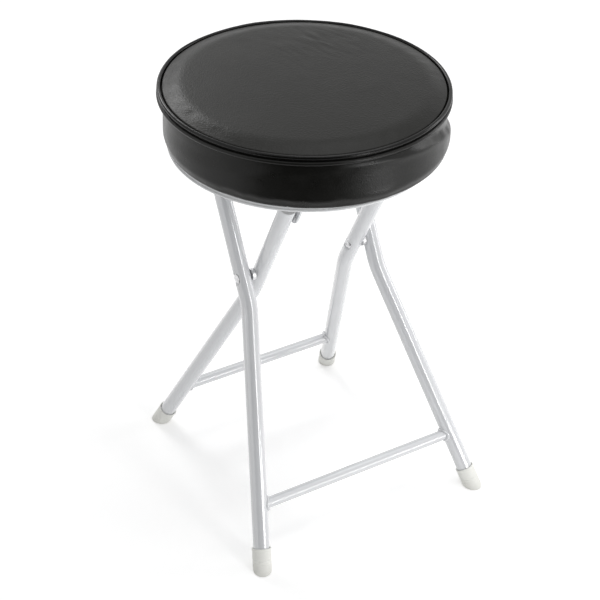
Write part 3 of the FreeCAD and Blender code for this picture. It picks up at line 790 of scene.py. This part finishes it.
def bandRadius(height, angle, folds=1):
    # outside of the side panel: tucked in under the seam, then out along a slanting fold to the
    # foot, which hangs a little to one side
    below = cushion["seam"] - height
    side = math.cos(math.radians(wrapped(angle, band["leanTo"])))
    top = band["topRadius"] + band["topLean"] * side
    foot = band["footRadius"] + band["footLean"] * side
    behind = eased((abs(wrapped(angle, band["front"])) - band["frontHalf"]) / band["frontFade"])
    width = band["foldWidth"] + (band["backFoldWidth"] - band["foldWidth"]) * behind
    out = eased((below - foldStart(angle)) / width + 0.5)
    radius = top + (foot - top) * out
    radius -= band["footTaper"] * eased((below - band["taperBelow"]) / band["taperHeight"])
    fold = bandFolds["wave"] * noise.noise(onCircle(angle, bandFolds["waveCount"],
                                                    height / bandFolds["waveHeight"]))
    swellAcross = bump(wrapped(angle, bandFolds["swellAt"]), 0, bandFolds["swellWidth"])
    fold += (bandFolds["swell"] * swellAcross
             * bump(below, foldStart(angle) + bandFolds["swellBelow"], bandFolds["swellHeight"]))
    footAcross = bump(wrapped(angle, bandFolds["footAt"]), 0, bandFolds["footWidth"])
    fold += (bandFolds["foot"] * footAcross
             * bump(below, bandFolds["footBelow"], bandFolds["footHeight"]))
    return radius + fold * folds


def roundRing(pointAt, around=cushion["around"]):
    # a closed ring round the seat's axis; pointAt gives radius and height for an angle
    ring = []
    for k in range(around):
        angle = 360 * k / around
        r, z = pointAt(angle)
        ring.append(seatAxis @ onCircle(angle, r, z))
    return ring


def fromSeam(p):
    local = seatAxis.inverted() @ p
    return math.hypot(math.hypot(local.x, local.y) - cushion["seamRadius"],
                      local.z - cushion["seam"])


def coverBlank():
    # the whole cover as one closed skin, without its folds
    sides, steps = 96, 14
    high, low = cushion["seam"] - 5, cushion["bottom"]
    rings = [roundRing(lambda angle, r=r: (r, topHeight(r, angle, 0)), sides)
             for r in range(10, 145, 8)]
    rings.append(roundRing(lambda angle: (cushion["seamRadius"], cushion["seam"]), sides))
    for k in range(steps):
        z = high - (high - low - 3) * k / (steps - 1)
        rings.append(roundRing(lambda angle, z=z: (bandRadius(z, angle, 0), z), sides))
    for inward in (3, 40, 100):
        rings.append(roundRing(lambda angle, i=inward: (bandRadius(low, angle, 0) - i, low), sides))
    tips = [seatAxis @ Vector((0, 0, z)) for z in (topHeight(0, 0, 0), low)]
    return skin(rings, tips=tips)


def blownCover():
    # cloth pressed out by the foam, held along the seam and under the board: where each point goes
    blank = bpy.data.objects.new("coverBlank", meshFrom("coverBlank", [coverBlank()]))
    scene.collection.objects.link(blank)
    even = blank.modifiers.new("evenMesh", "REMESH")
    even.mode = "VOXEL"
    even.voxel_size = coverCloth["voxel"] * mm
    evened = blank.evaluated_get(bpy.context.evaluated_depsgraph_get())
    cut = bpy.data.meshes.new_from_object(evened)
    cloth = bpy.data.objects.new("coverCloth", cut)
    scene.collection.objects.link(cloth)
    held = cloth.vertex_groups.new(name="held")
    for vertex in cut.vertices:
        p = vertex.co / mm
        if fromSeam(p) < coverCloth["heldBand"] or p.z < cushion["bottom"] + 2:
            held.add([vertex.index], 1.0, "REPLACE")
    sewn = cloth.modifiers.new("cloth", "CLOTH").settings
    sewn.use_pressure = True
    sewn.uniform_pressure_force = coverCloth["pressure"]
    sewn.effector_weights.gravity = 0
    sewn.vertex_group_mass = "held"
    sewn.shrink_min = -coverCloth["slack"]
    for step in range(1, coverCloth["steps"] + 1):
        scene.frame_set(step)
    puffed = cloth.evaluated_get(bpy.context.evaluated_depsgraph_get()).data
    tree = kdtree.KDTree(len(cut.vertices))
    pushes = []
    for vertex, after in zip(cut.vertices, puffed.vertices):
        tree.insert(vertex.co / mm, vertex.index)
        pushes.append((after.co - vertex.co) / mm)
    tree.balance()
    scene.frame_set(1)
    bpy.data.objects.remove(cloth)
    bpy.data.objects.remove(blank)
    print("cover blown up, furthest push", round(max(push.length for push in pushes), 2), "mm")
    return tree, pushes


def settled(rings, tree, pushes, reach):
    # the rings moved as the blown cloth moved, but no further than the foam lets it
    for ring in rings:
        for p in ring:
            share = eased((fromSeam(p) - coverCloth["stitched"]) / coverCloth["loosening"])
            total, push = 0, Vector()
            for _, index, away in tree.find_n(p, coverCloth["neighbours"]):
                weight = math.exp(-(away / coverCloth["blend"]) ** 2) + 1e-9
                total += weight
                push += pushes[index] * weight
            push /= total
            if push.length > 1e-6:
                p += push * (share * reach * math.tanh(push.length / reach) / push.length)


def coverRings():
    lip = topPanel["edge"] - topPanel["lipWidth"]
    count = topPanel["rings"]
    radii = [lip * (k / count) ** 0.85 for k in range(1, count + 1)]
    radii += [lip + topPanel["lipWidth"] * share for share in (0.35, 0.6, 0.8, 0.92, 1.0)]
    top = [roundRing(lambda angle, r=r: (r, topHeight(r, angle))) for r in radii]
    # the side starts inside the piping, rolls out under it and turns in under the board
    rollZ = cushion["seam"] - band["rollDrop"]
    rollR = cushion["seamRadius"] + band["rollOut"]
    cordR = cushion["seamRadius"] + pipingCord["out"]
    size = band["rollRadius"]
    side = [roundRing(lambda angle: (cordR - 0.4, cushion["seam"] - 1.7)),
            roundRing(lambda angle: (cordR - 1.6, cushion["seam"] - 3.1)),
            roundRing(lambda angle: (rollR - 1.9, rollZ + 2.3))]
    for swing in (112, 85, 60, 35, 10, -15, -40, -65, -90):
        turn = math.radians(swing)
        side.append(roundRing(lambda angle, t=turn: (rollR + size * math.cos(t),
                                                     rollZ + size * math.sin(t))))
    start = rollZ - size - 0.3
    for share in (0.45, 0.85):
        side.append(roundRing(lambda angle, s=share: (
            rollR + (bandRadius(start, angle) - rollR) * s, start + 0.4 - 0.3 * s)))
    high, low, steps = start - 0.4, cushion["bottom"] + band["corner"], 34
    for k in range(steps + 1):
        z = high - (high - low) * (k / steps) ** 1.15
        side.append(roundRing(lambda angle, z=z: (bandRadius(z, angle), z)))
    for k in range(1, 6):
        turn = math.radians(90 * k / 5)
        side.append(roundRing(lambda angle, t=turn: (
            bandRadius(low, angle) - band["corner"] * (1 - math.cos(t)),
            low - band["corner"] * math.sin(t))))
    for inward in (6, 12, band["turnIn"]):
        side.append(roundRing(lambda angle, i=inward: (
            band["footRadius"] - band["corner"] - i, cushion["bottom"])))
    return top, side


def pipingParts():
    around, rings = cushion["around"] * 2, []
    for k in range(around):
        angle = 2 * math.pi * k / around
        spot = Vector((math.cos(angle) * 16, math.sin(angle) * 16, 2))
        size = pipingCord["radius"] * (1 + pipingCord["uneven"] * noise.noise(spot))
        slow = Vector((math.cos(angle) * 3, math.sin(angle) * 3, 9))
        lift = pipingCord["lift"] * noise.noise(slow)
        out = cushion["seamRadius"] + pipingCord["out"] + pipingCord["sway"] * noise.noise(slow * 2)
        centre = Vector((out, 0, cushion["seam"] + lift))
        turn = Matrix.Rotation(angle, 4, "Z")
        ring = []
        for j in range(pipingCord["sides"]):
            swing = 2 * math.pi * j / pipingCord["sides"]
            outward = Vector((math.cos(swing), 0, math.sin(swing)))
            ring.append(seatAxis @ turn @ (centre + outward * size))
        rings.append(ring)
    return [skin(rings, loop=True)]


topRings, sideRings = coverRings()
topMiddle = seatAxis @ Vector((0, 0, topHeight(0, 0)))
tree, pushes = blownCover()
settled([[topMiddle]] + topRings, tree, pushes, coverCloth["topReach"])
settled(sideRings, tree, pushes, coverCloth["sideReach"])
coverTop = makePiece("coverTop", [skin(topRings, tips=(topMiddle, None))], topVinyl, "seat",
                     ["cover_top"])
coverBand = makePiece("coverBand", [skin(sideRings)], sideVinylShadedDarker, "seat", ["cover_band"],
                      sharpAbove=70)
for piece in (coverTop, coverBand):
    thick = piece.modifiers.new("vinylThickness", "SOLIDIFY")
    thick.thickness = 0.8 * mm
    thick.offset = -1
    finer = piece.modifiers.new("finerSkin", "SUBSURF")
    finer.levels = finer.render_levels = 1
makePiece("pipingCord", pipingParts(), cordVinylShadedDarker, "seat", ["piping"])


def foamParts():
    # the pad inside the cover: cut a little smaller, with soft edges
    sides, under, widest = 120, 1.8, 148
    top, low = cushion["seam"], cushion["bottom"] + 10.2
    rings = [roundRing(lambda angle, r=r: (r, topHeight(r, angle, 0) - under), sides)
             for r in (40, 80, 110, 125, 132)]
    for inward, drop in ((8.5, 1.5), (6.0, 2.2), (4.0, 4.0), (2.8, 7.0), (2.2, 11.0)):
        rings.append(roundRing(lambda angle, i=inward, d=drop: (
            bandRadius(top - 12, angle, 0) - i, top - d), sides))
    for share in (0.15, 0.3, 0.45, 0.6, 0.75, 0.9, 1.0):
        z = top - 11 - (top - 11 - low) * share
        rings.append(roundRing(lambda angle, z=z: (
            min(bandRadius(z, angle, 0), widest) - 2.4, z), sides))
    tips = [seatAxis @ Vector((0, 0, z)) for z in (topHeight(0, 0, 0) - under, low)]
    return [skin(rings, tips=tips)]


foamPad = makePiece("foamPad", foamParts(), foam, "seat", ["foam_pad"], sharpAbove=60)
print("cushion made")


# Nodes of the frame that keep their own shape

keptNodes = {
    "rest_rod": (platedSteel, "plated_steel", 0.3),
    "rod_caps": (platedSteel, "plated_steel", 0.4),
    "right_hinge_strap": (paint, "frame_paint", 0.4),
    "left_hinge_strap": (paint, "frame_paint", 0.4),
    "right_rod_hook": (paint, "frame_paint", 0.4),
    "left_rod_hook": (paint, "frame_paint", 0.4),
    "flange_rivets": (rivetSteel, "rivet_steel", 0.2),
    "board_screws": (platedSteel, "plated_steel", 0.15),
    "seat_board": (plywood, "board_wood", 0.4),
    "cover_staples": (platedSteel, "plated_steel", 0.1),
}
for name, (finish, slot, rounding) in keptNodes.items():
    node = frame["nodes"][name]
    node.data.materials.clear()
    node.data.materials.append(finish)
    joined = node.modifiers.new("joinedCorners", "WELD")
    joined.merge_threshold = 0.002 * mm
    edges = node.modifiers.new("brokenEdges", "BEVEL")
    edges.width = rounding * mm
    edges.segments = 2
    edges.limit_method = "ANGLE"
    edges.angle_limit = math.radians(40)
print("kept nodes finished")


# Floor, light and camera

stageLook = {"floorHalf": 14, "floorColor": 0.9, "floorGlow": 0.32, "worldLight": 0.46}
softboxes = {
    "window": {"at": (0.05, 1.75, 1.6), "aim": (0, 0, 0.42), "size": (0.8, 0.6), "glow": 7.0},
    "overhead": {"at": (0.5, 0.1, 2.3), "aim": (0, 0, 0.42), "size": (1.5, 1.2), "glow": 2.0},
    "strip": {"at": (0.13, -0.9, 0.46), "aim": (0, 0, 0.35), "size": (0.09, 0.56), "glow": 9.5},
    "lowStrip": {"at": (0.38, -0.92, 0.15), "aim": (0.02, -0.15, 0.06), "size": (0.4, 0.08),
                 "glow": 13.0},
    "right": {"at": (1.9, -0.4, 0.8), "aim": (0, 0, 0.3), "size": (0.5, 1.4), "glow": 3.2},
    "left": {"at": (-1.9, 0.5, 0.3), "aim": (0, 0, 0.15), "size": (0.9, 0.4), "glow": 1.1},
}
blackCard = {"width": 1.3, "near": 0.5, "far": 1.0, "height": 1.1, "lift": 0.003, "turn": -31.5}
cameraSetup = {
    "eye": (-0.78614, -1.24698, 1.25170),
    "target": (-0.005365, 0.001908, 0.218376),
    "roll": 1.57,
    "lens": 96.53,
}


def seenRays(nodes, links):
    # 1 for rays from the camera, from gloss and through glass, else 0
    rays = nodes.new("ShaderNodeLightPath")
    first = addNode(nodes, "Math", operation="MAXIMUM")
    both = addNode(nodes, "Math", operation="MAXIMUM")
    links.new(rays.outputs["Is Camera Ray"], first.inputs[0])
    links.new(rays.outputs["Is Glossy Ray"], first.inputs[1])
    links.new(first.outputs["Value"], both.inputs[0])
    links.new(rays.outputs["Is Transmission Ray"], both.inputs[1])
    return both.outputs["Value"]


def makeFloor():
    mesh = bpy.data.meshes.new("floor")
    half = stageLook["floorHalf"]
    corners = [(-half, -half, 0), (half, -half, 0), (half, half, 0), (-half, half, 0)]
    mesh.from_pydata(corners, [], [(0, 1, 2, 3)])
    floor = bpy.data.objects.new("floor", mesh)
    scene.collection.objects.link(floor)
    grey = (stageLook["floorColor"],) * 3
    finish, nodes, links, shader = newFinish("paleFloor", grey, 1.0, specular=0.0)
    shader.inputs["Emission Color"].default_value = (1, 1, 1, 1)
    links.new(ranged(nodes, links, seenRays(nodes, links), 0, 1, 0, stageLook["floorGlow"]),
              shader.inputs["Emission Strength"])
    mesh.materials.append(finish)


def makeWorld():
    world = bpy.data.worlds.new("paleRoom")
    world.use_nodes = True
    scene.world = world
    nodes, links = world.node_tree.nodes, world.node_tree.links
    background = nodes["Background"]
    background.inputs["Color"].default_value = (1, 1, 1, 1)
    links.new(ranged(nodes, links, seenRays(nodes, links), 0, 1, stageLook["worldLight"], 1),
              background.inputs["Strength"])


def makeSoftbox(name, setup):
    lamp = bpy.data.lights.new(name, "AREA")
    lamp.shape = "RECTANGLE"
    lamp.size, lamp.size_y = setup["size"]
    lamp.energy = setup["glow"] * math.pi * setup["size"][0] * setup["size"][1]
    holder = bpy.data.objects.new(name, lamp)
    holder.location = setup["at"]
    holder.rotation_mode = "QUATERNION"
    towards = Vector(setup["aim"]) - Vector(setup["at"])
    holder.rotation_quaternion = towards.to_track_quat("-Z", "Y")
    holder.visible_camera = False
    scene.collection.objects.link(holder)


def makeBlackCard():
    # a bent card lying and standing in front, seen in gloss only: the side panel mirrors it dark
    half = blackCard["width"] / 2
    bend = ((-blackCard["near"], blackCard["lift"]), (-blackCard["far"], blackCard["lift"]),
            (-blackCard["far"], blackCard["height"]))
    corners = [(x, y, z) for y, z in bend for x in (-half, half)]
    mesh = bpy.data.meshes.new("blackCard")
    mesh.from_pydata(corners, [], [(0, 1, 3, 2), (2, 3, 5, 4)])
    card = bpy.data.objects.new("blackCard", mesh)
    card.rotation_euler.z = math.radians(blackCard["turn"])
    card.visible_camera = card.visible_diffuse = False
    card.visible_shadow = card.visible_transmission = False
    scene.collection.objects.link(card)
    mesh.materials.append(newFinish("blackCardPaper", (0.01, 0.01, 0.01), 0.9, specular=0.1)[0])


makeFloor()
makeWorld()
makeBlackCard()
for name, setup in softboxes.items():
    makeSoftbox(name, setup)

lens = bpy.data.cameras.new("camera")
lens.lens = cameraSetup["lens"]
camera = bpy.data.objects.new("camera", lens)
camera.location = cameraSetup["eye"]
camera.rotation_mode = "QUATERNION"
facing = (Vector(cameraSetup["target"]) - Vector(cameraSetup["eye"])).to_track_quat("-Z", "Y")
camera.rotation_quaternion = facing @ Quaternion((0, 0, 1), math.radians(cameraSetup["roll"]))
scene.collection.objects.link(camera)
scene.camera = camera
scene.view_settings.view_transform = "Standard"
print("floor, light and camera made")
